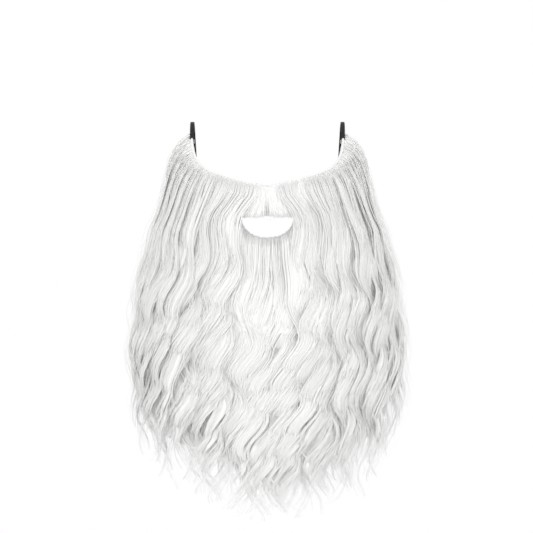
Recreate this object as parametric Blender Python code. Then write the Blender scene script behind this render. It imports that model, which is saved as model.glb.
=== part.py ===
"""Long wavy costume beard with its moustache, worn over the ears on two elastic loops.

Metres, +Z up. The wearer looks along -Y, and left and right are the wearer's. The origin lies between
the wearer's lips, on the inner face of the backing, at the centre of the mouth opening.
"""
import math

import bmesh
import bpy
from mathutils import Vector

# Backing: the fabric wall that fits the lower face
FACE_WIDTH = 0.154
FACE_DEPTH = 0.091
EDGE_RISE_MIDDLE = 0.0405
EDGE_RISE_SIDE = 0.0985
CHIN_DROP = 0.068
REAR_LOW_RISE = 0.010
BACKING_WALL = 0.002
BACKING_COLUMN_STEP = math.radians(7.8)
BACKING_ROWS_OVER = 4
BACKING_ROWS_UNDER = 6
MOUTH_COLUMNS = 10

# Mouth opening: flat on top, a half moon below
MOUTH_WIDTH = 0.053
MOUTH_TOP_RISE = 0.0115
MOUTH_HEIGHT = 0.0228
MOUTH_SQUARENESS = 2.6

# Outer form of the hair
HAIR_WIDTH = 0.279
HAIR_DROP = 0.284
FRONT_REACH = 0.029
ROOT_THICKNESS = 0.0022
ROOT_FILL_LENGTH = 0.018
FREE_FRONT_HOLLOW = 0.42
FREE_SIDE_HOLLOW = 0.62
HOLLOW_RAMP = 0.075

# Locks and waves
CHEEK_SEAM_SHARE = 0.48
LOCK_WIDTH = 0.0180
UNDER_LOCK_WIDTH = 0.0360
MOUSTACHE_LOCK_WIDTH = 0.0090
ROW_HEIGHT = 0.0095
UNDER_ROW_HEIGHT = 0.0140
MOUSTACHE_ROW_HEIGHT = 0.0060
WAVE_LENGTH = 0.066
WAVE_SWING = 0.0080
WAVE_SWELL = 0.0036
WAVE_START_RISE = 0.030
WAVE_GROWTH = 0.150
GROOVE_SHARE = 0.42
RIDGE_SHARE = 0.10
REAR_EDGE_SHARE = 0.80
TIP_SHARE = 0.27
TIP_UNEVEN = 0.010
TIP_TAPER = 1.5
UNDER_EXTRA_DROP = 0.004
UNDER_ROOT_RISE = 0.024
UNDER_SHARE = 0.42
OVER_SHARE = 0.52

# How far out of step the waves run round the beard, as sines: radians, turns to the radian, start
WAVE_DRIFT_COLUMNS = ("size", "rate", "start")
WAVE_DRIFT = (
    (1.7, 2.3, 0.4),
    (1.1, 5.7, 1.9),
)
TIP_UNEVEN_RATE = 37.0
UNDER_UNEVEN_RATE = 23.0

# Parting of the moustache
PART_RISE = 0.031
PART_WIDTH = 0.010

# Elastic ear loops
ELASTIC_WIDTH = 0.0042
ELASTIC_THICKNESS = 0.0015
LOOP_RISE = 0.0115
LOOP_REACH = 0.036
LOOP_FOOT_SETBACK = 0.007
LOOP_LOW_RISE = 0.022
LOOP_SIDES = 8
LOOP_SQUARENESS = 0.6

# Route of an ear loop. Back is a share of its reach, up a share of LOOP_RISE over the sideburn's top and
# of the fall to the low end under it, and inward a share of the way in to the backing's low rear edge.
LOOP_COLUMNS = ("back", "up", "inward")
LOOP_ROWS = (
    (0.00, 0.00, 0.00),
    (0.03, 0.36, 0.00),
    (0.14, 0.82, 0.00),
    (0.32, 1.00, 0.02),
    (0.55, 0.55, 0.06),
    (0.80, -0.09, 0.15),
    (0.97, -0.36, 0.35),
    (1.00, -0.60, 0.55),
    (0.90, -0.82, 0.80),
    (0.62, -0.97, 0.95),
    (0.30, -1.00, 1.00),
    (0.00, -1.00, 1.00),
)

# Clearances
SEAT_GAP = 0.0003
HAIR_GAP = 0.0006
HAIR_LIFT = 0.0010
UNDER_LIFT = 0.0026
HEM_SHOW = 0.0016

# Head sections. Heights are shares of EDGE_RISE_SIDE above the lips and of CHIN_DROP below them.
FACE_COLUMNS = ("height", "half_width", "front", "rear")
FACE_ROWS = (
    (1.00, 1.000, -0.050, 1.000),
    (0.70, 0.990, -0.060, 1.000),
    (0.40, 0.965, -0.050, 1.000),
    (0.12, 0.920, -0.012, 0.995),
    (-0.10, 0.885, 0.004, 0.985),
    (-0.45, 0.810, 0.012, 0.950),
    (-0.75, 0.730, 0.090, 0.900),
    (-1.00, 0.660, 0.220, 0.850),
    (-1.50, 0.610, 0.300, 0.830),
    (-4.20, 0.600, 0.300, 0.800),
)

# Hair sections. Heights are shares of EDGE_RISE_SIDE above the lips and of HAIR_DROP below them, half
# widths are shares of half of HAIR_WIDTH, and front is a share of FRONT_REACH.
HAIR_COLUMNS = ("height", "half_width", "front")
HAIR_ROWS = (
    (1.00, 0.735, 0.34),
    (0.70, 0.748, 0.40),
    (0.45, 0.760, 0.45),
    (0.20, 0.790, 0.52),
    (0.00, 0.850, 0.52),
    (-0.12, 0.915, 0.58),
    (-0.25, 0.965, 0.86),
    (-0.42, 1.000, 1.00),
    (-0.60, 0.995, 1.00),
    (-0.75, 0.950, 0.95),
    (-1.00, 0.900, 0.78),
)

# Edge lines by angle round the face. Angle is a share of a quarter turn from the middle. Rise goes from
# 0 at the middle's height to 1 at the side's, and drop from 1 at the middle's tip to 0 at the lips.
EDGE_COLUMNS = ("angle", "top_rise", "low_rise", "tip_drop")
EDGE_ROWS = (
    (0.00, 0.000, 0.000, 0.985),
    (0.10, 0.040, 0.010, 0.975),
    (0.25, 0.105, 0.060, 0.950),
    (0.42, 0.195, 0.170, 0.915),
    (0.60, 0.320, 0.370, 0.890),
    (0.78, 0.540, 0.650, 0.840),
    (0.90, 0.780, 0.870, 0.765),
    (1.00, 1.000, 1.000, 0.680),
)

QUARTER = math.pi / 2

# Where the outer face of a lock has its points, as shares of the way across it
ACROSS = (0.0, 0.3, 0.7, 1.0)
ACROSS_UNDER = (0.0, 0.5, 1.0)


def read_table(rows, columns, name, at):
    """Value of a named column at a place along the first column, on a smooth curve through the rows."""
    column = columns.index(name)
    ordered = sorted(rows)
    if at <= ordered[0][0]:
        return ordered[0][column]
    if at >= ordered[-1][0]:
        return ordered[-1][column]
    last = len(ordered) - 2
    k = next(i for i in range(last + 1) if at <= ordered[i + 1][0])
    before, low, high, after = (ordered[max(0, min(last + 1, i))] for i in (k - 1, k, k + 1, k + 2))
    span = high[0] - low[0]
    t = (at - low[0]) / span
    slope_low = (high[column] - before[column]) / (high[0] - before[0]) * span
    slope_high = (after[column] - low[column]) / (after[0] - low[0]) * span
    return (
        (2 * t ** 3 - 3 * t ** 2 + 1) * low[column]
        + (t ** 3 - 2 * t ** 2 + t) * slope_low
        + (3 * t ** 2 - 2 * t ** 3) * high[column]
        + (t ** 3 - t ** 2) * slope_high
    )


def smooth(value):
    """Goes from 0 to 1 with flat ends while value does."""
    t = max(0.0, min(1.0, value))
    return t * t * (3 - 2 * t)


def edge_height(angle, name):
    """Height of a named edge line at an angle round the face."""
    share = read_table(EDGE_ROWS, EDGE_COLUMNS, name, abs(angle) / QUARTER)
    if name == "top_rise":
        return EDGE_RISE_MIDDLE + (EDGE_RISE_SIDE - EDGE_RISE_MIDDLE) * share
    if name == "low_rise":
        return -CHIN_DROP + (CHIN_DROP + REAR_LOW_RISE) * share
    return -HAIR_DROP * share


def face_section(height):
    """Half width, front and rear of the head at a height."""
    share = height / (EDGE_RISE_SIDE if height > 0 else CHIN_DROP)
    half = read_table(FACE_ROWS, FACE_COLUMNS, "half_width", share) * FACE_WIDTH / 2
    front = read_table(FACE_ROWS, FACE_COLUMNS, "front", share) * FACE_DEPTH
    rear = read_table(FACE_ROWS, FACE_COLUMNS, "rear", share) * FACE_DEPTH
    return half, front, rear


def hair_depth(angle, height):
    """From the outer face of the backing out to the hair's outer form."""
    share = height / (EDGE_RISE_SIDE if height > 0 else HAIR_DROP)
    outer_half = read_table(HAIR_ROWS, HAIR_COLUMNS, "half_width", share) * HAIR_WIDTH / 2
    outer_front = -read_table(HAIR_ROWS, HAIR_COLUMNS, "front", share) * FRONT_REACH
    half, front, _ = face_section(height)
    at_side = outer_half - half - BACKING_WALL
    at_front = front - BACKING_WALL - outer_front
    return at_front * math.cos(angle) ** 2 + at_side * math.sin(angle) ** 2


def hollow_share(angle, height):
    """Share of the hair's depth left open behind it, where it hangs free below the backing."""
    full = FREE_FRONT_HOLLOW * math.cos(angle) ** 2 + FREE_SIDE_HOLLOW * math.sin(angle) ** 2
    return full * smooth((edge_height(angle, "low_rise") - height) / HOLLOW_RAMP)


def place(angle, height, offset, slide=0.0):
    """Point at an offset outside the head's surface, slid sideways along it."""
    half, front, rear = face_section(height)
    across = half + offset
    deep = rear - front + offset
    along = Vector((across * math.cos(angle), deep * math.sin(angle), 0.0)).normalized()
    return Vector((across * math.sin(angle), rear - deep * math.cos(angle), height)) + along * slide


def wave_turn(angle, height):
    """Where the hair is in its wave."""
    drift = sum(size * math.sin(rate * angle + start) for size, rate, start in WAVE_DRIFT)
    return math.tau * height / WAVE_LENGTH + drift


def wave_strength(height):
    return smooth((WAVE_START_RISE - height) / WAVE_GROWTH)


def wave_slide(angle, height):
    return WAVE_SWING * wave_strength(height) * math.sin(wave_turn(angle, height))


def wave_swell(angle, height):
    return WAVE_SWELL * wave_strength(height) * math.cos(wave_turn(angle, height))


def mouth_angle():
    """Angle of the mouth's corners round the face."""
    half, _, _ = face_section(MOUTH_TOP_RISE)
    return math.asin(MOUTH_WIDTH / 2 / (half + BACKING_WALL))


def mouth_low(angle):
    """Height of the mouth's lower rim."""
    share = min(1.0, abs(angle) / mouth_angle())
    depth = max(0.0, 1 - share ** MOUTH_SQUARENESS) ** (1 / MOUTH_SQUARENESS)
    return MOUTH_TOP_RISE - MOUTH_HEIGHT * depth


def facet_gap(step):
    """How far flat facets of one angle step dip below the round surface."""
    return max(FACE_WIDTH / 2, FACE_DEPTH) * (1 - math.cos(step / 2))


def new_material(name, colour, roughness):
    material = bpy.data.materials.new(name)
    material.use_nodes = True
    shader = material.node_tree.nodes["Principled BSDF"]
    shader.inputs["Base Color"].default_value = (*colour, 1.0)
    shader.inputs["Roughness"].default_value = roughness
    shader.inputs["Metallic"].default_value = 0.0
    return material


def finish_object(name, bm, material, smooth_angle):
    """Closes off a mesh and puts it in the scene."""
    bmesh.ops.recalc_face_normals(bm, faces=bm.faces)
    mesh = bpy.data.meshes.new(name)
    bm.to_mesh(mesh)
    bm.free()
    mesh.shade_smooth()
    mesh.set_sharp_from_angle(angle=smooth_angle)
    mesh.materials.append(material)
    obj = bpy.data.objects.new(name, mesh)
    bpy.context.scene.collection.objects.link(obj)
    return obj


def spread(start, end, count):
    """Evenly spaced values from start to end, both ends included."""
    return [start + (end - start) * i / count for i in range(count + 1)]


def build_backing(material):
    """Fabric wall from ear to ear, in rows over and under the line through the mouth's corners."""
    corner = mouth_angle()
    half_arc = QUARTER - corner
    side_count = max(4, round(half_arc / BACKING_COLUMN_STEP))
    right = spread(-QUARTER, -corner, side_count)
    across_mouth = [corner * math.sin(t) for t in spread(-QUARTER, QUARTER, MOUTH_COLUMNS)]
    angles = right + across_mouth[1:-1] + [-a for a in reversed(right)]

    def in_mouth(angle):
        return abs(angle) < corner - 1e-9

    def middle(angle, under):
        if in_mouth(angle):
            return mouth_low(angle) if under else MOUTH_TOP_RISE
        rear_middle = (EDGE_RISE_SIDE + REAR_LOW_RISE) / 2
        share = (abs(angle) - corner) / half_arc
        return MOUTH_TOP_RISE + (rear_middle - MOUTH_TOP_RISE) * share ** 2

    bm = bmesh.new()
    skins = []
    for offset in (0.0, BACKING_WALL):
        columns = []
        for angle in angles:
            top = edge_height(angle, "top_rise")
            low = edge_height(angle, "low_rise")
            over_heights = spread(top, middle(angle, False), BACKING_ROWS_OVER)
            under_heights = spread(middle(angle, True), low, BACKING_ROWS_UNDER)
            over = [bm.verts.new(place(angle, z, offset)) for z in over_heights]
            under = [bm.verts.new(place(angle, z, offset)) for z in under_heights[1:]]
            rim = bm.verts.new(place(angle, under_heights[0], offset)) if in_mouth(angle) else over[-1]
            columns.append((over, [rim] + under))
        skins.append(columns)
        for left, right_column in zip(columns, columns[1:]):
            for strip_a, strip_b in zip(left, right_column):
                for i in range(len(strip_a) - 1):
                    bm.faces.new((strip_a[i], strip_b[i], strip_b[i + 1], strip_a[i + 1]))
    inner, outer = skins
    rim_lines = [
        ([c[0][0] for c in inner], [c[0][0] for c in outer]),
        ([c[1][-1] for c in inner], [c[1][-1] for c in outer]),
        (inner[0][0] + inner[0][1][1:], outer[0][0] + outer[0][1][1:]),
        (inner[-1][0] + inner[-1][1][1:], outer[-1][0] + outer[-1][1][1:]),
    ]
    mouth = range(side_count, len(angles) - side_count)
    rim_lines.append(([inner[i][0][-1] for i in mouth], [outer[i][0][-1] for i in mouth]))
    rim_lines.append(([inner[i][1][0] for i in mouth], [outer[i][1][0] for i in mouth]))
    for inner_line, outer_line in rim_lines:
        for i in range(len(inner_line) - 1):
            bm.faces.new((inner_line[i], inner_line[i + 1], outer_line[i + 1], outer_line[i]))
    return finish_object("backing", bm, material, math.radians(50))


class HairLayer:
    """A sheet of hair in locks that share their edges down to the row where they part into tips."""

    def __init__(self, name, edges, row_heights, split_row, inner, outer, tip_height=None, shares=ACROSS):
        self.name = name
        self.edges = edges
        self.row_heights = row_heights
        self.split_row = split_row
        self.inner = inner
        self.outer = outer
        self.tip_height = tip_height
        self.shares = shares
        self.bm = bmesh.new()
        self.known = {}

    def vertex(self, side, lock, share, row):
        """Vertex across a lock: side is the inner or outer face, share runs from 0 to 1 across it."""
        key = (side, lock, share, row)
        if row <= self.split_row and share in (0.0, 1.0):
            key = (side, "edge", lock + int(share), row)
        if key not in self.known:
            self.known[key] = self.bm.verts.new(self.point(side, lock, share, row))
        return self.known[key]

    def point(self, side, lock, share, row):
        """Place of a vertex, drawn in to the lock's middle line past the split row."""
        left, right = self.edges[lock](row), self.edges[lock + 1](row)
        past = row - self.split_row
        tip_rows = len(self.row_heights) - self.split_row
        narrow = 1.0 if past <= 0 else 1 - (past / tip_rows) ** TIP_TAPER
        centre = (left + right) / 2
        angle = centre + (right - left) * (share - 0.5) * narrow
        height = self.row_heights[row](angle)
        low = self.inner(angle, height)
        high = self.outer(angle, height)
        middle = (low + high) / 2
        if side == "inner":
            offset = middle + (low - middle) * narrow
        else:
            relief = self.relief(lock, share)
            offset = middle + (high - middle + relief * (high - low)) * narrow
        slide = wave_slide(angle, height)
        if lock == 0 and share == 0.0:
            slide += HAIR_GAP / 2
        if lock == len(self.edges) - 2 and share == 1.0:
            slide -= HAIR_GAP / 2
        return place(angle, height, offset, slide)

    def relief(self, lock, share):
        """How far the outer face stands above its mean form, as a share of the hair's depth."""
        if share not in (0.0, 1.0):
            return RIDGE_SHARE
        edge = self.edges[lock + int(share)](0)
        return -REAR_EDGE_SHARE if abs(edge) > QUARTER - 1e-6 else -GROOVE_SHARE

    def tip_vertex(self, lock):
        """The point that a free lock ends in."""
        last = len(self.row_heights) - 1
        angle = (self.edges[lock](last) + self.edges[lock + 1](last)) / 2
        height = self.tip_height(angle)
        offset = (self.inner(angle, height) + self.outer(angle, height)) / 2
        return self.bm.verts.new(place(angle, height, offset, wave_slide(angle, height)))

    def wall(self, lock, share, row):
        """Side of a lock where it borders on air or on another piece."""
        outer_a = self.vertex("outer", lock, share, row)
        outer_b = self.vertex("outer", lock, share, row + 1)
        inner_b = self.vertex("inner", lock, share, row + 1)
        inner_a = self.vertex("inner", lock, share, row)
        self.bm.faces.new((outer_a, outer_b, inner_b, inner_a))

    def cap(self, lock, row):
        """Closes a lock's cut end."""
        outer = [self.vertex("outer", lock, share, row) for share in self.shares]
        inner = [self.vertex("inner", lock, share, row) for share in (0.0, 1.0)]
        half = len(outer) // 2
        for a, b in zip(outer[:half], outer[1:half]):
            self.bm.faces.new((a, b, inner[0]))
        for a, b in zip(outer[half:], outer[half + 1:]):
            self.bm.faces.new((a, b, inner[1]))
        self.bm.faces.new((outer[half - 1], outer[half], inner[1], inner[0]))

    def build(self, material):
        locks = len(self.edges) - 1
        last = len(self.row_heights) - 1
        for lock in range(locks):
            for row in range(last):
                for side, shares in (("outer", self.shares), ("inner", (0.0, 1.0))):
                    for a, b in zip(shares, shares[1:]):
                        self.bm.faces.new((
                            self.vertex(side, lock, a, row), self.vertex(side, lock, b, row),
                            self.vertex(side, lock, b, row + 1), self.vertex(side, lock, a, row + 1),
                        ))
                if row >= self.split_row or lock == 0:
                    self.wall(lock, 0.0, row)
                if row >= self.split_row or lock == locks - 1:
                    self.wall(lock, 1.0, row)
            self.cap(lock, 0)
            if self.tip_height is None:
                self.cap(lock, last)
                continue
            tip = self.tip_vertex(lock)
            round_tip = [self.vertex("outer", lock, share, last) for share in self.shares]
            round_tip += [self.vertex("inner", lock, share, last) for share in (1.0, 0.0)]
            for a, b in zip(round_tip, round_tip[1:] + round_tip[:1]):
                self.bm.faces.new((a, b, tip))
        return finish_object(self.name, self.bm, material, math.radians(60))


def fixed_edges(start, end, count):
    """Lock edges at constant angles."""
    return [lambda row, angle=angle: angle for angle in spread(start, end, count)]


def split_height(angle):
    """Where the locks part from each other."""
    tip = edge_height(angle, "tip_drop")
    return tip * (1 - TIP_SHARE)


def falling_rows(top_of, common, upper_count, row_height, low_extra=0.0):
    """Row heights from a root line to a common level, to the split, and down the tips."""
    lower_count = max(4, round(HAIR_DROP * (1 - TIP_SHARE) / row_height) - 2)
    tip_count = max(4, round(HAIR_DROP * TIP_SHARE / row_height))
    rows = []
    for i in range(upper_count):
        rows.append(lambda a, t=i / upper_count: top_of(a) + (common(a) - top_of(a)) * t)
    for i in range(lower_count):
        rows.append(lambda a, t=i / lower_count: common(a) + (split_height(a) - common(a)) * t)
    split_row = len(rows)
    for i in range(tip_count):
        rows.append(
            lambda a, t=i / tip_count: split_height(a)
            + (edge_height(a, "tip_drop") - low_extra - split_height(a)) * t
        )
    return rows, split_row


def root_line(angle):
    """Where the cheek hair and moustache start, just under the backing's hem."""
    return edge_height(angle, "top_rise") - HEM_SHOW


def chin_root_line(angle):
    return mouth_low(angle) - HEM_SHOW


def under_root_line(angle):
    return edge_height(angle, "low_rise") + UNDER_ROOT_RISE


def over_parting(angle):
    """Where the upper hair starts to stand off to make room for the row under it."""
    return under_root_line(angle) + ROOT_FILL_LENGTH


def under_level(angle):
    """Where the under hair's rows take up their even spacing."""
    return min(common_level(angle), under_root_line(angle)) - ROW_HEIGHT


def common_level(angle):
    """Rows of neighbouring hair pieces lie level with each other from here down."""
    return MOUTH_TOP_RISE - MOUTH_HEIGHT - 3 * HEM_SHOW


def layer_faces(root_of, step, low_share, high_share, root_share_start, full_lift=HAIR_LIFT):
    """Inner and outer offset of a hair layer, which starts thin at its root line."""
    seat = BACKING_WALL + SEAT_GAP + facet_gap(step)

    def total(angle, height):
        return hair_depth(angle, height) + wave_swell(angle, height) - SEAT_GAP - facet_gap(step)

    def filled(angle, height):
        return 1 - math.exp(-max(0.0, root_of(angle) - height) / ROOT_FILL_LENGTH)

    def inner(angle, height):
        hollow = hollow_share(angle, height)
        lift = full_lift * filled(angle, height)
        share = low_share * smooth((root_share_start(angle) - height) / ROOT_FILL_LENGTH)
        return seat + lift + (total(angle, height) - lift) * (hollow + (1 - hollow) * share)

    def outer(angle, height):
        hollow = hollow_share(angle, height)
        full = seat + total(angle, height) * (hollow + (1 - hollow) * high_share)
        start = inner(angle, height) + ROOT_THICKNESS
        return start + max(0.0, full - start) * filled(angle, height)

    return inner, outer


def build_over_hair(material):
    """Chin, cheek and sideburn hair, side by side, with rows level with each other."""
    corner = mouth_angle()
    seam = corner + (QUARTER - corner) * CHEEK_SEAM_SHARE
    step = LOCK_WIDTH / (HAIR_WIDTH / 2)
    chin_count = max(3, round(2 * corner / step))
    side_count = max(3, round((seam - corner) / step))
    rear_count = max(3, round((QUARTER - seam) / step))
    upper_count = max(3, round((EDGE_RISE_SIDE + REAR_LOW_RISE) / 2 / ROW_HEIGHT))
    pieces = (
        ("chin_hair", -corner, corner, chin_count, chin_root_line, 2),
        ("cheek_hair_left", corner, seam, side_count, root_line, upper_count),
        ("cheek_hair_right", -seam, -corner, side_count, root_line, upper_count),
        ("sideburn_hair_left", seam, QUARTER, rear_count, root_line, upper_count),
        ("sideburn_hair_right", -QUARTER, -seam, rear_count, root_line, upper_count),
    )
    for name, start, end, count, root_of, upper in pieces:
        rows, split_row = falling_rows(root_of, common_level, upper, ROW_HEIGHT)
        inner, outer = layer_faces(root_of, (end - start) / count, OVER_SHARE, 1.0, over_parting)

        def tip_height(angle):
            return edge_height(angle, "tip_drop") + TIP_UNEVEN * math.sin(angle * TIP_UNEVEN_RATE)

        layer = HairLayer(name, fixed_edges(start, end, count), rows, split_row, inner, outer, tip_height)
        layer.build(material)


def build_under_hair(material):
    """Row sewn along the jaw under the rest, in two halves that meet below the chin."""
    step = UNDER_LOCK_WIDTH / (HAIR_WIDTH / 2)
    count = max(3, round(QUARTER / step))
    for name, start, end in (("under_hair_left", 0.0, QUARTER), ("under_hair_right", -QUARTER, 0.0)):
        rows, split_row = falling_rows(under_root_line, under_level, 3, UNDER_ROW_HEIGHT, UNDER_EXTRA_DROP)
        inner, outer = layer_faces(
            under_root_line, (end - start) / count, 0.0, UNDER_SHARE, under_root_line, UNDER_LIFT
        )

        def tip_height(angle):
            uneven = TIP_UNEVEN * math.sin(angle * UNDER_UNEVEN_RATE)
            return edge_height(angle, "tip_drop") - UNDER_EXTRA_DROP - uneven

        edges = fixed_edges(start, end, count)
        layer = HairLayer(name, edges, rows, split_row, inner, outer, tip_height, ACROSS_UNDER)
        layer.build(material)


def build_moustache(material):
    """Two halves, parted under the nose, cut straight at the mouth opening."""
    corner = mouth_angle()
    count = max(2, round(MOUTH_WIDTH / 2 / MOUSTACHE_LOCK_WIDTH))
    row_count = max(3, round((EDGE_RISE_MIDDLE - MOUTH_TOP_RISE) / MOUSTACHE_ROW_HEIGHT))
    inner, outer = layer_faces(root_line, corner / count, 0.0, 1.0, root_line)
    half, _, _ = face_section(MOUTH_TOP_RISE)
    part_angle = math.asin(PART_WIDTH / 2 / half)
    for name, sign in (("moustache_left", 1), ("moustache_right", -1)):
        rows = [
            lambda a, t=t: root_line(a) + (MOUTH_TOP_RISE - root_line(a)) * t
            for t in spread(0.0, 1.0, row_count)
        ]

        def edge(row, share, sign=sign):
            middle_height = root_line(0.0) + (MOUTH_TOP_RISE - root_line(0.0)) * row / row_count
            opened = max(0.0, (PART_RISE - middle_height) / (PART_RISE - MOUTH_TOP_RISE))
            start = part_angle * opened
            return sign * (start + (corner - start) * share)

        shares = spread(0.0, 1.0, count)
        if sign < 0:
            shares.reverse()
        edges = [lambda row, share=share, edge=edge: edge(row, share) for share in shares]
        HairLayer(name, edges, rows, row_count + 1, inner, outer).build(material)


def loop_route(side):
    """Centre line of an ear loop, from the backing's top corner over and behind the ear to its rear edge."""
    half_low, _, rear_low = face_section(LOOP_LOW_RISE)
    foot_angle = math.acos(LOOP_FOOT_SETBACK / FACE_DEPTH)
    foot = place(foot_angle, edge_height(foot_angle, "top_rise"), BACKING_WALL / 2)
    foot.z = EDGE_RISE_SIDE
    reach = LOOP_REACH + LOOP_FOOT_SETBACK
    start = EDGE_RISE_SIDE + SEAT_GAP
    low_x = half_low + BACKING_WALL / 2
    points = []
    for back, up, inward in LOOP_ROWS:
        y = foot.y + reach * back
        if inward == 1.0:
            y = rear_low + SEAT_GAP + (foot.y + reach - rear_low) * back
        z = start + (LOOP_RISE if up > 0 else start - LOOP_LOW_RISE) * up
        x = foot.x + (low_x - foot.x) * inward
        points.append(Vector((side * x, y, z)))
    return points


def squared(value):
    """Makes a circle's cosine or sine that of a rounded rectangle."""
    return math.copysign(abs(value) ** LOOP_SQUARENESS, value)


def build_ear_loop(name, side, material):
    """Flat elastic that runs round the ear like a belt, its width across the head's side."""
    route = loop_route(side)
    bm = bmesh.new()
    rings = []
    for i, spot in enumerate(route):
        ahead = route[min(i + 1, len(route) - 1)]
        behind = route[max(i - 1, 0)]
        along = (ahead - behind).normalized()
        wide = (Vector((1.0, 0.0, 0.0)) - along * along.x).normalized()
        thick = along.cross(wide)
        ring = []
        for step in range(LOOP_SIDES):
            turn = math.tau * (step + 0.5) / LOOP_SIDES
            across = wide * (squared(math.cos(turn)) * ELASTIC_WIDTH / 2)
            deep = thick * (squared(math.sin(turn)) * ELASTIC_THICKNESS / 2)
            ring.append(bm.verts.new(spot + across + deep))
        rings.append(ring)
    for a, b in zip(rings, rings[1:]):
        for i in range(LOOP_SIDES):
            bm.faces.new((a[i], a[(i + 1) % LOOP_SIDES], b[(i + 1) % LOOP_SIDES], b[i]))
    bm.faces.new(rings[0])
    bm.faces.new(rings[-1])
    return finish_object(name, bm, material, math.radians(50))


def main():
    for obj in list(bpy.data.objects):
        bpy.data.objects.remove(obj)
    hair = new_material("white_hair", (0.80, 0.80, 0.78), 0.42)
    fabric = new_material("white_backing_fabric", (0.78, 0.77, 0.74), 0.85)
    elastic = new_material("black_elastic", (0.012, 0.012, 0.013), 0.75)
    build_backing(fabric)
    build_over_hair(hair)
    build_under_hair(hair)
    build_moustache(hair)
    build_ear_loop("ear_loop_left", 1, elastic)
    build_ear_loop("ear_loop_right", -1, elastic)


main()
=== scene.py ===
import math

import bmesh
import bpy
import numpy as np
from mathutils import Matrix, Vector


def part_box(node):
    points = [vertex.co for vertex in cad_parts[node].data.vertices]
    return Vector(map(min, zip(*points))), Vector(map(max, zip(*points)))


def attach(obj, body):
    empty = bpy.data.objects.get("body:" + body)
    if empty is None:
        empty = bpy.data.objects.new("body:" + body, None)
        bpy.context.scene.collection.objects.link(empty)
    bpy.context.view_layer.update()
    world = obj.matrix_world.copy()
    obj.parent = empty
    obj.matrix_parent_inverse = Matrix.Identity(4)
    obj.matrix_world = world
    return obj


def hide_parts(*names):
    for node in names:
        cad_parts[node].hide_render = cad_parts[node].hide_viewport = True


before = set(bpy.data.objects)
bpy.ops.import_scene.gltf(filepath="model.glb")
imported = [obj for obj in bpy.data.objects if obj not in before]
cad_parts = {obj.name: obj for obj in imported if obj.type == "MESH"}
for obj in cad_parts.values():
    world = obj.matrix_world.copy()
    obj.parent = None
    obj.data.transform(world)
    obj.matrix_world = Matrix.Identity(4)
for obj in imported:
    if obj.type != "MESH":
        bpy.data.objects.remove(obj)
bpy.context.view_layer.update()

# Driving sizes in metres, most of them read from the frame
BODY = "root"
BACKING_LOW, BACKING_HIGH = (Vector(corner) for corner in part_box("backing"))
BACKING_WALL = 0.002
BACKING_WIDTH = BACKING_HIGH.x - BACKING_LOW.x - 2 * BACKING_WALL
BACKING_DEPTH = BACKING_HIGH.y
EDGE_RISE_SIDE = BACKING_HIGH.z
EDGE_RISE_MIDDLE = 0.0405
CHIN_DROP = -BACKING_LOW.z
REAR_LOW_RISE = 0.010
MOUTH_WIDTH = 0.053
MOUTH_TOP_RISE = 0.0115
MOUTH_HEIGHT = 0.0228
MOUTH_SQUARENESS = 2.6
HAIR_WIDTH = 0.279
HAIR_DROP = 0.284
FRONT_REACH = 0.029
HOLLOW_RAMP = 0.075
FREE_FRONT_HOLLOW = 0.42
FREE_SIDE_HOLLOW = 0.62
UNDER_ROOT_RISE = 0.024
UNDER_SHARE = 0.42
WAVE_LENGTH = 0.066
WAVE_SWING = 0.0080
WAVE_SWELL = 0.0036
WAVE_START_RISE = 0.030
WAVE_GROWTH = 0.150
WAVE_DRIFT = ((1.7, 2.3, 0.4), (1.1, 5.7, 1.9))
PART_RISE = 0.031
PART_WIDTH = 0.010
ELASTIC_WIDTH = 0.0042
ELASTIC_THICKNESS = 0.0015
SEAT_GAP = 0.0003
HEM_SHOW = 0.0016
HEM_RADIUS = 0.00125
MOUTH_HEM_RADIUS = 0.00105
QUARTER = math.pi / 2
HAIR_SEED = 41
RIM_SQUARENESS = 2.15
STITCH_ROWS = 13
STITCH_ROW_STEP = 0.012
STITCH_LENGTH = 0.0030

# Sections of the backing's inner side, as in the frame: heights are shares of the top edge's rise above
# the mouth line and of the chin's drop below it, the rest are shares of the half width and the depth
BACKING_COLUMNS = ("height", "half_width", "front", "rear")
BACKING_ROWS = (
    (1.00, 1.000, -0.050, 1.000),
    (0.70, 0.990, -0.060, 1.000),
    (0.40, 0.965, -0.050, 1.000),
    (0.12, 0.920, -0.012, 0.995),
    (-0.10, 0.885, 0.004, 0.985),
    (-0.45, 0.810, 0.012, 0.950),
    (-0.75, 0.730, 0.090, 0.900),
    (-1.00, 0.660, 0.220, 0.850),
    (-1.50, 0.610, 0.300, 0.830),
    (-4.20, 0.600, 0.300, 0.800),
)
# Sections of the hair's outer form: heights below the mouth line are shares of HAIR_DROP, the rest are
# shares of half of HAIR_WIDTH and of FRONT_REACH
HAIR_COLUMNS = ("height", "half_width", "front")
HAIR_ROWS = (
    (1.00, 0.735, 0.34),
    (0.70, 0.748, 0.40),
    (0.45, 0.760, 0.45),
    (0.20, 0.790, 0.52),
    (0.00, 0.850, 0.52),
    (-0.12, 0.915, 0.58),
    (-0.25, 0.965, 0.86),
    (-0.42, 1.000, 1.00),
    (-0.60, 0.995, 1.00),
    (-0.75, 0.950, 0.95),
    (-1.00, 0.900, 0.78),
)
# Edges round the beard: the angle is a share of the quarter turn from the front to the rear edge
EDGE_COLUMNS = ("angle", "top_rise", "low_rise", "tip_drop")
EDGE_ROWS = (
    (0.00, 0.000, 0.000, 0.985),
    (0.10, 0.040, 0.010, 0.975),
    (0.25, 0.105, 0.060, 0.950),
    (0.42, 0.195, 0.170, 0.915),
    (0.60, 0.320, 0.370, 0.890),
    (0.78, 0.540, 0.650, 0.840),
    (0.90, 0.780, 0.870, 0.765),
    (1.00, 1.000, 1.000, 0.680),
)


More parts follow.
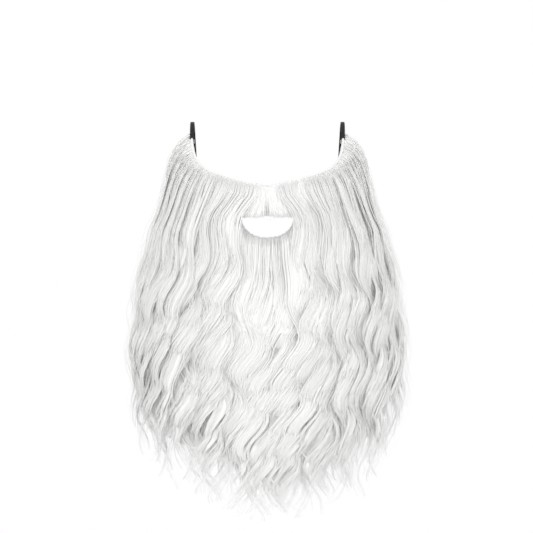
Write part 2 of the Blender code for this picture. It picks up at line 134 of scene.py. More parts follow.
def table_curve(rows, columns, name):
    """Function that reads a named column on a smooth curve through the rows."""
    column = columns.index(name)
    ordered = sorted(rows)
    at = np.array([row[0] for row in ordered])
    value = np.array([row[column] for row in ordered])
    before, after = np.r_[at[0], at[:-1]], np.r_[at[1:], at[-1]]
    slope = (np.r_[value[1:], value[-1]] - np.r_[value[0], value[:-1]]) / (after - before)

    def read(place):
        x = np.clip(np.asarray(place, dtype=float), at[0], at[-1])
        k = np.clip(np.searchsorted(at, x, side="right") - 1, 0, len(at) - 2)
        span = at[k + 1] - at[k]
        t = (x - at[k]) / span
        return (
            (2 * t ** 3 - 3 * t ** 2 + 1) * value[k]
            + (t ** 3 - 2 * t ** 2 + t) * slope[k] * span
            + (3 * t ** 2 - 2 * t ** 3) * value[k + 1]
            + (t ** 3 - t ** 2) * slope[k + 1] * span
        )

    return read


BACKING = {name: table_curve(BACKING_ROWS, BACKING_COLUMNS, name) for name in BACKING_COLUMNS[1:]}
HAIR = {name: table_curve(HAIR_ROWS, HAIR_COLUMNS, name) for name in HAIR_COLUMNS[1:]}
EDGE = {name: table_curve(EDGE_ROWS, EDGE_COLUMNS, name) for name in EDGE_COLUMNS[1:]}


def smooth(value):
    """Eased step from 0 to 1."""
    t = np.clip(value, 0.0, 1.0)
    return t * t * (3 - 2 * t)


def top_edge(angle):
    """Height of the backing's top edge at an angle round the beard, 0 at the front."""
    rise = EDGE["top_rise"](np.abs(angle) / QUARTER)
    return EDGE_RISE_MIDDLE + (EDGE_RISE_SIDE - EDGE_RISE_MIDDLE) * rise


def low_edge(angle):
    """Height of the backing's lower edge, round the jaw and chin."""
    return -CHIN_DROP + (CHIN_DROP + REAR_LOW_RISE) * EDGE["low_rise"](np.abs(angle) / QUARTER)


def tip_edge(angle):
    """Height of the tips of the long hair."""
    return -HAIR_DROP * EDGE["tip_drop"](np.abs(angle) / QUARTER)


def backing_section(height):
    """Half width, front and rear of the backing's inner side at a height."""
    share = np.where(height > 0, height / EDGE_RISE_SIDE, height / CHIN_DROP)
    half = BACKING["half_width"](share) * BACKING_WIDTH / 2
    return half, BACKING["front"](share) * BACKING_DEPTH, BACKING["rear"](share) * BACKING_DEPTH


def hair_depth(angle, height):
    """From the outer face of the backing out to the hair's outer form."""
    share = np.where(height > 0, height / EDGE_RISE_SIDE, height / HAIR_DROP)
    half, front, _ = backing_section(height)
    at_side = HAIR["half_width"](share) * HAIR_WIDTH / 2 - half - BACKING_WALL
    at_front = front - BACKING_WALL + HAIR["front"](share) * FRONT_REACH
    return at_front * np.cos(angle) ** 2 + at_side * np.sin(angle) ** 2


def hollow_share(angle, height):
    """Share of the hair's depth that is open behind the hair which hangs free under the jaw."""
    full = FREE_FRONT_HOLLOW * np.cos(angle) ** 2 + FREE_SIDE_HOLLOW * np.sin(angle) ** 2
    return full * smooth((low_edge(angle) - height) / HOLLOW_RAMP)


def place(angle, height, offset, slide=0.0):
    """Points at an offset outside the backing's inner side, slid sideways along it."""
    angle, height, offset, slide = np.broadcast_arrays(angle, height, offset, slide)
    half, front, rear = backing_section(height)
    across = half + offset
    deep = rear - front + offset
    along_x, along_y = across * np.cos(angle), deep * np.sin(angle)
    size = np.hypot(along_x, along_y)
    return np.stack((
        across * np.sin(angle) + along_x / size * slide,
        rear - deep * np.cos(angle) + along_y / size * slide,
        height,
    ), axis=-1)


def wave_turn(angle, height):
    """How far round its wave the hair is, as an angle."""
    drift = sum(size * np.sin(rate * angle + start) for size, rate, start in WAVE_DRIFT)
    return math.tau * height / WAVE_LENGTH + drift


def wave_strength(height):
    """Share of its full swing that the wave has reached on its way down."""
    return smooth((WAVE_START_RISE - height) / WAVE_GROWTH)


MOUTH_ANGLE = math.asin(MOUTH_WIDTH / 2 / (float(backing_section(MOUTH_TOP_RISE)[0]) + BACKING_WALL))


def half_moon(angle, squareness):
    """Height of a half moon that hangs under the mouth's straight upper rim."""
    share = np.minimum(1.0, np.abs(angle) / MOUTH_ANGLE)
    return MOUTH_TOP_RISE - MOUTH_HEIGHT * (1 - share ** squareness) ** (1 / squareness)


def mouth_low(angle):
    """Height of the mouth opening's lower rim in the backing."""
    return half_moon(angle, MOUTH_SQUARENESS)


def hair_rim(angle):
    """Upper edge of the hair under the mouth, rounder than the backing's rim, which it hides."""
    return half_moon(angle, RIM_SQUARENESS)


# Shader groups shared by the materials

def new_group(name, inputs, outputs):
    """Empty node group with its sockets; each socket is a name, a type and, for an input, a value."""
    group = bpy.data.node_groups.new(name, "ShaderNodeTree")
    for socket_name, kind, value in inputs:
        socket = group.interface.new_socket(socket_name, in_out="INPUT", socket_type=kind)
        if value is not None:
            socket.default_value = value
    for socket_name, kind in outputs:
        group.interface.new_socket(socket_name, in_out="OUTPUT", socket_type=kind)
    return group, group.nodes.new("NodeGroupInput"), group.nodes.new("NodeGroupOutput")


def math_node(tree, operation, *values):
    node = tree.nodes.new("ShaderNodeMath")
    node.operation = operation
    for i, value in enumerate(values):
        if isinstance(value, (int, float)):
            node.inputs[i].default_value = value
        else:
            tree.links.new(value, node.inputs[i])
    return node.outputs[0]


def noise_node(tree, vector, scale, **values):
    node = tree.nodes.new("ShaderNodeTexNoise")
    node.inputs["Scale"].default_value = scale
    for name, value in values.items():
        node.inputs[name].default_value = value
    tree.links.new(vector, node.inputs["Vector"])
    return node.outputs[0]


def hair_streaks_group():
    """Tone and height of fine streaks that run along the hair, the tone lower where the streaks are low,
    painted shade in the grooves wherever the height drives a bump: x of the vector is across, y along.
    """
    group, start, end = new_group(
        "hair_streaks",
        (("Vector", "NodeSocketVector", None), ("Fineness", "NodeSocketFloat", 90.0),
         ("Tip Fade", "NodeSocketFloat", 0.3)),
        (("Tone And Groove Shade", "NodeSocketFloat"), ("Height", "NodeSocketFloat")),
    )
    split = group.nodes.new("ShaderNodeSeparateXYZ")
    joined = group.nodes.new("ShaderNodeCombineXYZ")
    group.links.new(start.outputs["Vector"], split.inputs[0])
    across = math_node(group, "MULTIPLY", split.outputs[0], start.outputs["Fineness"])
    along = math_node(group, "MULTIPLY", split.outputs[1], 2.5)
    group.links.new(across, joined.inputs[0])
    group.links.new(along, joined.inputs[1])
    noise = noise_node(group, joined.outputs[0], 1.0, Detail=3.0, Roughness=0.65)
    fade = math_node(group, "POWER", split.outputs[1], 3.0)
    fade = math_node(group, "MULTIPLY", fade, start.outputs["Tip Fade"])
    tone = math_node(group, "SUBTRACT", noise, fade)
    group.links.new(tone, end.inputs["Tone And Groove Shade"])
    group.links.new(noise, end.inputs["Height"])
    return group


def knit_group():
    """Height of a plain knit and a colour mask that follows it, painted shade in the hollows between the
    stitches: x of the vector is across and y up, in metres.
    """
    group, start, end = new_group(
        "knit",
        (("Vector", "NodeSocketVector", None), ("Stitch", "NodeSocketFloat", 0.0016)),
        (("Mask", "NodeSocketFloat"), ("Height", "NodeSocketFloat")),
    )
    split = group.nodes.new("ShaderNodeSeparateXYZ")
    group.links.new(start.outputs["Vector"], split.inputs[0])
    column = math_node(group, "DIVIDE", split.outputs[0], start.outputs["Stitch"])
    row = math_node(group, "DIVIDE", split.outputs[1], start.outputs["Stitch"])
    rib = math_node(group, "SINE", math_node(group, "MULTIPLY", column, math.pi))
    rib = math_node(group, "ABSOLUTE", rib)
    lean = math_node(group, "MULTIPLY", row, math.tau * 1.3)
    lean = math_node(group, "ADD", lean, math_node(group, "MULTIPLY", rib, 2.4))
    loop = math_node(group, "MULTIPLY", math_node(group, "SINE", lean), 0.35)
    loop = math_node(group, "ADD", loop, 0.5)
    height = math_node(group, "MULTIPLY", rib, loop)
    group.links.new(height, end.inputs["Height"])
    group.links.new(math_node(group, "MULTIPLY", height, 1.3), end.inputs["Mask"])
    return group


def new_material(name, roughness, sheen=0.0, specular=0.5):
    material = bpy.data.materials.new(name)
    material.use_nodes = True
    shader = material.node_tree.nodes["Principled BSDF"]
    shader.inputs["Roughness"].default_value = roughness
    shader.inputs["Metallic"].default_value = 0.0
    shader.inputs["Sheen Weight"].default_value = sheen
    shader.inputs["Sheen Roughness"].default_value = 0.3
    shader.inputs["Specular IOR Level"].default_value = specular
    return material, material.node_tree, shader


def ramp_colour(tree, factor, stops, shader):
    """Colours the shader by a tone, each stop a position and a colour."""
    node = tree.nodes.new("ShaderNodeValToRGB")
    ramp = node.color_ramp.elements
    ramp[0].position, ramp[1].position = stops[0][0], stops[-1][0]
    ramp[0].color, ramp[1].color = (*stops[0][1], 1.0), (*stops[-1][1], 1.0)
    for position, colour in stops[1:-1]:
        ramp.new(position).color = (*colour, 1.0)
    tree.links.new(factor, node.inputs[0])
    tree.links.new(node.outputs[0], shader.inputs["Base Color"])


def placed_group(tree, group, uv_name, **values):
    """The group on a UV map of the piece."""
    uv_map = tree.nodes.new("ShaderNodeUVMap")
    uv_map.uv_map = uv_name
    node = tree.nodes.new("ShaderNodeGroup")
    node.node_tree = group
    tree.links.new(uv_map.outputs[0], node.inputs["Vector"])
    for name, value in values.items():
        node.inputs[name].default_value = value
    return node.outputs


def bump(tree, height, strength, distance, shader):
    node = tree.nodes.new("ShaderNodeBump")
    node.inputs["Strength"].default_value = strength
    node.inputs["Distance"].default_value = distance
    tree.links.new(height, node.inputs["Height"])
    tree.links.new(node.outputs[0], shader.inputs["Normal"])


# Colours of each finish, from the lowest tone or knit height to the highest; the body's are greyer than the
# strands', painted shade for the shadow among the strands that lie over it
STRAND_COLOURS = ((0.25, (0.925, 0.925, 0.915)), (0.5, (0.955, 0.953, 0.943)), (0.75, (0.975, 0.973, 0.963)))
BODY_SHADE_COLOURS = ((0.30, (0.87, 0.87, 0.86)), (0.5, (0.915, 0.913, 0.903)), (0.70, (0.95, 0.948, 0.938)))
# Knit and braid: the low end of each ramp is painted shade in the hollows between the stitches
KNIT_HOLLOW_SHADE_COLOURS = ((0.0, (0.80, 0.79, 0.76)), (0.6, (0.89, 0.885, 0.865)), (1.0, (0.93, 0.925, 0.905)))
BRAID_HOLLOW_SHADE_COLOURS = (
    (0.0, (0.0008, 0.0008, 0.0008)), (0.7, (0.0025, 0.0025, 0.0027)), (1.0, (0.008, 0.008, 0.0084)))
THREAD_COLOURS = ((0.3, (0.70, 0.69, 0.66)), (0.5, (0.80, 0.79, 0.76)), (0.7, (0.88, 0.87, 0.84)))


def white_hair_material(name, fineness, colours, relief):
    """White synthetic hair: each strand its own near white, a little greyer at the ends; where there is a
    bump, greyer in the grooves between the streaks, painted shade.
    """
    material, tree, shader = new_material(name, 0.38, sheen=0.15, specular=0.45)
    streaks = placed_group(tree, STREAKS, "OFBake", Fineness=fineness)
    ramp_colour(tree, streaks["Tone And Groove Shade"], colours, shader)
    if relief:
        # The bump follows the streaks' height as the tone does, so the low grooves are greyer: painted shade
        bump(tree, streaks["Height"], 0.5, relief, shader)
    return material


def knit_material(name, colours, stitch, relief, **finish):
    """Knit or braid with stitches of one size, its bump a strength and a depth, its colour darker where the
    stitches sink: painted shade in their hollows.
    """
    material, tree, shader = new_material(name, **finish)
    knit = placed_group(tree, KNIT, "Cloth", Stitch=stitch)
    ramp_colour(tree, knit["Mask"], colours, shader)
    bump(tree, knit["Height"], *relief, shader)
    return material


def thread_material():
    """Sewing thread, a little darker than the hair, its tone changing along it."""
    material, tree, shader = new_material("white_thread", 0.6, sheen=0.2, specular=0.35)
    place_on = tree.nodes.new("ShaderNodeTexCoord").outputs["Object"]
    ramp_colour(tree, noise_node(tree, place_on, 900.0), THREAD_COLOURS, shader)
    return material


STREAKS = hair_streaks_group()
KNIT = knit_group()
STRAND_FINISH = white_hair_material("white_hair_strands", 60.0, STRAND_COLOURS, 0.0)
# The hair bodies and lock cores are a shade greyer than the strands: painted shade for the shadow that falls
# among the strands over them
SHADED_BODY_FINISH = white_hair_material("white_hair_body_painted_shade", 420.0, BODY_SHADE_COLOURS, 0.0012)
BACKING_FINISH = knit_material(
    "white_knit_backing", KNIT_HOLLOW_SHADE_COLOURS, 0.0016, (0.7, 0.0005), roughness=0.9, sheen=0.3, specular=0.2)
ELASTIC_FINISH = knit_material(
    "black_braided_elastic", BRAID_HOLLOW_SHADE_COLOURS, 0.00085, (0.8, 0.0003), roughness=0.75, sheen=0.03, specular=0.12)
THREAD_FINISH = thread_material()


# Mesh making

def add_piece(name, mesh, material, slot, *nodes):
    """Puts a finished mesh in the scene, riding on the beard."""
    mesh.materials.append(material)
    obj = bpy.data.objects.new(name, mesh)
    bpy.context.scene.collection.objects.link(obj)
    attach(obj, BODY)
    if nodes:
        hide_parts(*nodes)
    return obj


def mesh_from_bmesh(name, bm):
    mesh = bpy.data.meshes.new(name)
    bm.to_mesh(mesh)
    bm.free()
    return mesh


def mesh_from_arrays(name, points, faces, uv, uv_name):
    """Smooth mesh from points, quads and per-corner UVs; a row of faces that ends in -1 is a triangle."""
    mesh = bpy.data.meshes.new(name)
    sizes = np.where(faces[:, 3] < 0, 3, 4)
    corners = faces.ravel()
    kept = corners >= 0
    corners, uv = corners[kept], uv.reshape(-1, 2)[kept]
    mesh.vertices.add(len(points))
    mesh.vertices.foreach_set("co", points.astype(np.float32).ravel())
    mesh.loops.add(len(corners))
    mesh.loops.foreach_set("vertex_index", corners.astype(np.int32))
    mesh.polygons.add(len(faces))
    mesh.polygons.foreach_set("loop_start", np.r_[0, np.cumsum(sizes)[:-1]].astype(np.int32))
    mesh.update(calc_edges=True)
    mesh.validate()
    mesh.shade_smooth()
    layer = mesh.uv_layers.new(name=uv_name)
    layer.data.foreach_set("uv", uv.astype(np.float32).ravel())
    return mesh


STRAND_SIDES = 3


def tube_mesh(name, paths, widths, depths, tones, sides, uv_name="OFBake"):
    """Closed tubes along the paths, an array of tubes by stations by xyz, with a tone each."""
    along = np.gradient(paths, axis=1)
    along /= np.linalg.norm(along, axis=2, keepdims=True)
    out = np.stack((paths[..., 0], paths[..., 1] - BACKING_DEPTH, np.zeros_like(paths[..., 0])), axis=-1)
    across = np.cross(along, out)
    across /= np.linalg.norm(across, axis=2, keepdims=True)
    out = np.cross(across, along)
    turns = math.tau * (np.arange(sides) + 0.25) / sides
    ring = (
        across[:, :, None] * widths[:, :, None, None] * np.cos(turns)[None, None, :, None]
        + out[:, :, None] * depths[:, :, None, None] * np.sin(turns)[None, None, :, None]
    )
    return rings_mesh(name, paths[:, :, None] + ring, tones, uv_name)


def rings_mesh(name, points, tones, uv_name="OFBake", spread=0.0):
    """Closed tubes from an array of tubes by stations by ring points by xyz."""
    count, stations, sides, _ = points.shape
    index = np.arange(count * stations * sides).reshape(count, stations, sides)
    after = np.roll(index, -1, axis=2)
    quads = np.stack((index[:, :-1], index[:, 1:], after[:, 1:], after[:, :-1]), axis=-1)
    v = np.linspace(0, 1, stations)
    u = np.arange(sides + 1) / sides * spread
    quad_uv = np.empty(quads.shape + (2,))
    quad_uv[..., 0] = tones[:, None, None, None] + np.stack((u[:-1], u[:-1], u[1:], u[1:]), axis=-1)
    quad_uv[..., 1] = np.stack((v[:-1], v[1:], v[1:], v[:-1]), axis=-1)[None, :, None, :]
    corners = [quads.reshape(-1, 4)]
    uvs = [quad_uv.reshape(-1, 4, 2)]
    for station, order, at in ((0, slice(None), 0.0), (stations - 1, slice(None, None, -1), 1.0)):
        ring = index[:, station, order]
        for k in range(1, sides - 1):
            corners.append(np.stack((ring[:, 0], ring[:, k], ring[:, k + 1], np.full(count, -1)), axis=-1))
            cap_uv = np.empty((count, 4, 2))
            cap_uv[..., 0] = tones[:, None]
            cap_uv[..., 1] = at
            uvs.append(cap_uv)
    points = points.reshape(-1, 3)
    return mesh_from_arrays(name, points, np.concatenate(corners), np.concatenate(uvs), uv_name)


# Locks: each is a flat bundle of strands with its own way down the beard

LOCK_KEYS = ("angle", "drop", "tip", "share", "sink", "half_width", "thickness", "strands", "behind")
OVER_STATIONS = 34
UNDER_STATIONS = 27
CORE_STATIONS = 34
CORE_SIDES = 8
CORE_WIDTH = 0.86
CORE_LENGTH = 0.86
ROOT_SPREAD = 1.30
ROOT_FLATNESS = 0.20
TAPER_START = 0.62
TAPER_RUN = 0.42
FAN_SHARE = 0.36
FAN_REACH = 0.62
STRAND_WIDTH = 0.00052
STRAND_DEPTH = 0.00022
STRAND_BURY = 0.12
TIP_POINTS = (-0.80, -0.25, 0.30, 0.85)
TIP_GATHER = 0.92
TIP_CURL = 0.0075
SIDE_SPLAY = 0.009
LEFT_DROP = 0.010


def filled(distance, length=0.018):
    """Share of its full depth that hair has reached a distance under its root."""
    return 1 - np.exp(-np.maximum(0.0, distance) / length)


def root_fill(root_line, angle, height):
    """Share of its full depth that hair has reached under its root line, sooner on the chin."""
    return filled(root_line(angle) - height, 0.009 if root_line is root_line_chin else 0.018)


def lock_habits(rng, locks):
    """What sets each lock apart from its neighbours."""
    count = len(locks)
    habits = {key: np.array([lock[key] for lock in locks]) for key in LOCK_KEYS}
    habits.update({
        "phase": rng.normal(0, 1.15, count),
        "rate": rng.normal(1.0, 0.045, count),
        "swing": rng.uniform(0.80, 1.30, count),
        "drift": rng.normal(0, 0.03, count),
        "turn": rng.uniform(0, math.tau, count),
        "twist": rng.uniform(0.10, 0.50, count),
        "lift": rng.normal(0, 0.0012, count),
    })
    return habits


def combed(angle, height):
    """Angle of hair at a height, given where it passes the mouth: it fans outward from the parting."""
    over = smooth((height - MOUTH_TOP_RISE + 0.004) / (EDGE_RISE_MIDDLE - MOUTH_TOP_RISE))
    near = 1 - smooth((np.abs(angle) - MOUTH_ANGLE) / FAN_REACH)
    return angle * (1 - FAN_SHARE * near * over)


def root_height(angle, side, half_width, root_of, drop):
    """Height where a line of a lock comes out of the backing."""
    at_root = combed(angle, EDGE_RISE_SIDE) if root_of is root_line_top else angle
    reach = np.hypot(BACKING_WIDTH / 2 * np.cos(at_root), BACKING_DEPTH * np.sin(at_root))
    at_root = at_root + side * half_width * ROOT_SPREAD / reach
    return root_of(np.clip(at_root, -QUARTER, QUARTER)) - drop


def lock_lines(own, height, side, sunk, slide, root_line):
    """Points of lines that run down locks, side from -1 to 1 across them and sunk from 0 to 1 in them."""
    length = (own["root"] - own["tip"])[:, None]
    s = np.clip((own["root"][:, None] - height) / length, 0.0, 1.1)
    opened, taper = smooth(s / 0.5), smooth((s - TAPER_START) / TAPER_RUN)
    wide = (ROOT_SPREAD + (1 - ROOT_SPREAD) * opened) * (1 - 0.60 * taper)
    deep = (ROOT_FLATNESS + (1 - ROOT_FLATNESS) * opened) * (1 - 0.55 * taper)
    angle = combed(own["angle"][:, None] + own["drift"][:, None] * smooth(s), height)
    start = np.minimum(WAVE_START_RISE, own["root"] - 0.015)[:, None]
    growth = smooth((start - height) / (WAVE_GROWTH * 0.8))
    strength = growth * own["swing"][:, None]
    turn = (own["rate"][:, None] - 1) * math.tau * height / WAVE_LENGTH
    turn = turn + wave_turn(own["angle"][:, None], height) + own["phase"][:, None] + 0.35 * side
    thickness = own["thickness"][:, None] * deep
    across = side * own["half_width"][:, None] * wide
    depth = (sunk - 0.5) * thickness
    tilt = own["twist"][:, None] * np.sin(own["turn"][:, None] + s * 8.0) * smooth(s / 0.3)
    turned = across * np.cos(tilt) - depth * np.sin(tilt)
    depth = depth * np.cos(tilt) + across * np.sin(tilt) * 0.5
    slide = slide + turned + WAVE_SWING * strength * np.sin(turn)
    full = hair_depth(angle, height) + WAVE_SWELL * (strength * np.cos(turn) - growth * 0.6)
    hollow = hollow_share(angle, height)
    share = own["share"][:, None]
    base = BACKING_WALL + SEAT_GAP
    inner = base + full * hollow
    outer = base + full * (hollow + (1 - hollow) * share) - own["sink"][:, None]
    fill = root_fill(root_line, angle, height)
    offset = inner + (outer - inner - thickness / 2 - depth + own["lift"][:, None]) * fill + 0.0012
    return place(angle, height, np.maximum(offset, base + 0.0005), slide)


def lock_strands(rng, habits, stations, root_line):
    """Paths, widths and depths of all the strands that lie on the locks."""
    which = np.repeat(np.arange(len(habits["angle"])), habits["strands"])
    own = {key: values[which] for key, values in habits.items()}
    count = len(which)
    t = np.linspace(0, 1, stations)[None, :]
    t = t * (1.35 - 0.35 * t)
    p = rng.uniform(-1, 1, count)
    own["root"] = root_height(own["angle"], p, own["half_width"], root_line, own["drop"])
    loose = rng.uniform(0, 1, count)
    ends = np.array(TIP_POINTS)[None, :] + rng.normal(0, 0.10, (len(habits["angle"]), len(TIP_POINTS)))
    group = np.argmin(np.abs(p[:, None] - ends[which]), axis=1)
    end_length = rng.uniform(-0.01, 0.12, ends.shape)[which, group]
    end_curl = rng.normal(0, TIP_CURL, ends.shape)[which, group]
    gather = TIP_GATHER * smooth((t - 0.55) / 0.42)
    side = p[:, None] * (1 - gather) + ends[which, group][:, None] * gather
    length = (own["root"] - own["tip"]) * (1 - end_length - rng.uniform(0, 1, count) ** 2.5 * 0.14)
    height = own["root"][:, None] - length[:, None] * t
    surface = 0.5 - 0.5 * np.sqrt(np.maximum(0.0, 1 - side ** 2))
    sunk = surface + (rng.uniform(0, 1, count) ** 1.5)[:, None] * STRAND_BURY
    sunk = np.where((loose < own["behind"])[:, None], 1 - surface, sunk)
    frizz = sum(
        rng.uniform(0.3, 1.0, count)[:, None]
        * np.sin(height * math.tau / rng.uniform(0.020, 0.050, count)[:, None]
                 + rng.uniform(0, math.tau, count)[:, None])
        for _ in range(2)
    ) * (0.00012 + 0.0006 * t ** 2)
    splay = np.sign(own["angle"]) * SIDE_SPLAY * np.abs(own["angle"]) / QUARTER
    flare = (end_curl + splay + rng.normal(0, 0.0015, count))[:, None] * smooth((t - 0.72) / 0.28) ** 1.5
    paths = lock_lines(own, height, side, sunk, frizz + flare, root_line)
    thin = (1 - 0.70 * t ** 4) * rng.uniform(0.75, 1.2, count)[:, None]
    return paths, STRAND_WIDTH * thin, STRAND_DEPTH * thin


def lock_cores(habits, stations, root_line):
    """Rings of points of the solid cores that fill the locks and taper away above their tips."""
    turns = math.tau * np.arange(CORE_SIDES) / CORE_SIDES
    t = np.linspace(0, 1, stations)
    narrow = (np.sqrt(np.maximum(0.0004, 1 - t ** 3)) * np.minimum(1.0, 0.20 + 4 * t))[None, :] * CORE_WIDTH
    rings = []
    for turn in turns:
        own = dict(habits)
        if root_line is root_line_chin:
            own["root"] = root_line(own["angle"]) - 0.007
        else:
            side, drop = math.cos(turn) * narrow[0, 0], own["drop"] + 0.002
            own["root"] = root_height(own["angle"], side, own["half_width"], root_line, drop)
        height = own["root"][:, None] - ((own["root"] - own["tip"]) * CORE_LENGTH)[:, None] * t[None, :]
        side = math.cos(turn) * narrow * np.ones_like(height)
        sunk = 0.60 - 0.46 * math.sin(turn) * narrow * np.ones_like(height)
        rings.append(lock_lines(own, height, side, sunk, 0.0, root_line))
    return np.stack(rings, axis=2)


def root_line_top(angle):
    """Where the upper hair starts, just under the top hem."""
    return top_edge(angle) - HEM_SHOW


def root_line_chin(angle):
    """Where the hair under the mouth starts."""
    return hair_rim(angle) + 0.0004


def root_line_under(angle):
    """Where the row on the jaw line starts."""
    return low_edge(angle) + UNDER_ROOT_RISE


def lock_tip(angle):
    """Height of a lock's tip: a little lower than the frame's in the middle and on the left, at +X."""
    turn = abs(angle)
    drop = 0.006 * (1 - smooth(turn / 0.9)) - 0.005 * smooth((turn - 0.5) / 0.6)
    drop += LEFT_DROP * smooth(1 - abs(angle - 0.80) / 0.75)
    return float(tip_edge(angle)) - drop


# Rows of locks, the outermost first: step between locks as a share of LOCK_STEP, share of the hair's
# depth, sink under that, drop of the root, half width, strands on a lock, lift of the tip, and the share
# of strands that lie behind the lock
LOCK_STEP = 0.120
ROW_COLUMNS = ("step", "share", "sink", "drop", "half_width", "strands", "lift", "behind")
OVER_ROWS = (
    (1.00, 1.00, 0.0008, 0.000, 0.0130, 38, 0.000, 0.10),
    (0.85, 1.00, 0.0026, 0.001, 0.0130, 30, 0.000, 0.10),
    (1.10, 1.00, 0.0050, 0.002, 0.0140, 14, 0.004, 0.10),
)
UNDER_ROWS = (
    (1.10, UNDER_SHARE, 0.0, 0.000, 0.0100, 11, -0.003, 0.10),
    (0.95, 0.10, 0.0, 0.002, 0.0115, 26, 0.004, 1.00),
)
UNDER_THICKNESS = (0.006, 0.003)


def lock_row(rng, start, end, values, thickness):
    """Locks side by side between two angles, as a row of the tables above says."""
    row = dict(zip(ROW_COLUMNS, values))
    spacing = LOCK_STEP * row["step"]
    count = max(2, round((end - start) / spacing))
    locks = []
    for i in range(count):
        angle = start + (end - start) * (i + 0.5) / count + rng.normal(0, spacing * 0.12)
        angle = min(max(angle, start), end)
        locks.append({
            "angle": angle,
            "drop": row["drop"] * rng.uniform(0.8, 1.2),
            "tip": lock_tip(angle) + row["lift"] + rng.uniform(-0.006, 0.016),
            "share": row["share"],
            "sink": row["sink"],
            "half_width": row["half_width"] * rng.uniform(0.75, 1.3),
            "thickness": thickness * rng.uniform(0.8, 1.2),
            "strands": row["strands"],
            "behind": row["behind"],
        })
    return locks


def rear_locks(rng, angle):
    """Locks that close off the hair's depth along the backing's rear edge."""
    return [{
        "angle": angle, "drop": 0.002, "tip": lock_tip(angle) + rng.uniform(0.0, 0.02), "share": share,
        "sink": 0.0, "half_width": 0.004, "thickness": 0.014, "strands": 18, "behind": 0.5,
    } for share in (0.30, 0.55, 0.80)]


CHEEK_SEAM = MOUTH_ANGLE + (QUARTER - MOUTH_ANGLE) * 0.48
REAR_LIMIT = QUARTER - 0.05

# Pieces of the upper hair: node, first and last angle, root line, thickness of the locks, and how deep
# the body lies under them
OVER_PIECES = (
    ("chin_hair", -MOUTH_ANGLE, MOUTH_ANGLE, root_line_chin, 0.0054, 0.0072),
    ("cheek_hair_left", MOUTH_ANGLE + 0.05, CHEEK_SEAM, root_line_top, 0.0054, 0.0072),
    ("cheek_hair_right", -CHEEK_SEAM, -MOUTH_ANGLE - 0.05, root_line_top, 0.0054, 0.0072),
    ("sideburn_hair_left", CHEEK_SEAM, REAR_LIMIT, root_line_top, 0.0036, 0.0056),
    ("sideburn_hair_right", -REAR_LIMIT, -CHEEK_SEAM, root_line_top, 0.0036, 0.0056),
)
UNDER_PIECES = (("under_hair_left", 0.0, REAR_LIMIT), ("under_hair_right", -REAR_LIMIT, 0.0))


def add_locks(node, rng, locks, stations, root_of):
    """Strands and solid cores of a piece's locks."""
    habits = lock_habits(rng, locks)
    paths, widths, depths = lock_strands(rng, habits, stations, root_of)
    mesh = tube_mesh(node + "_strands", paths, widths, depths, rng.uniform(0, 1, len(paths)), STRAND_SIDES)
    add_piece(node + "_strands", mesh, STRAND_FINISH, "white_hair", node)
    rings = lock_cores(habits, CORE_STATIONS, root_of)
    mesh = rings_mesh(node + "_locks", rings, rng.uniform(0, 5, len(rings)), spread=0.12)
    add_piece(node + "_locks", mesh, SHADED_BODY_FINISH, "white_hair", node)


def build_over_strands():
    """Long hair of the chin, cheeks and sideburns."""
    for number, (node, start, end, root_of, thickness, _) in enumerate(OVER_PIECES):
        rng = np.random.default_rng(HAIR_SEED + number)
        locks = []
        for values in OVER_ROWS:
            locks += lock_row(rng, start, end, values, thickness)
        if node.startswith("sideburn"):
            locks += rear_locks(rng, math.copysign(QUARTER - 0.02, start))
        add_locks(node, rng, locks, OVER_STATIONS, root_of)


def build_under_strands():
    """Long hair of the row on the jaw line, some of it lining the inside of the hanging hair."""
    for number, (node, start, end) in enumerate(UNDER_PIECES):
        rng = np.random.default_rng(HAIR_SEED + 20 + number)
        locks = []
        for values, thickness in zip(UNDER_ROWS, UNDER_THICKNESS):
            locks += lock_row(rng, start, end, values, thickness)
        add_locks(node, rng, locks, UNDER_STATIONS, root_line_under)


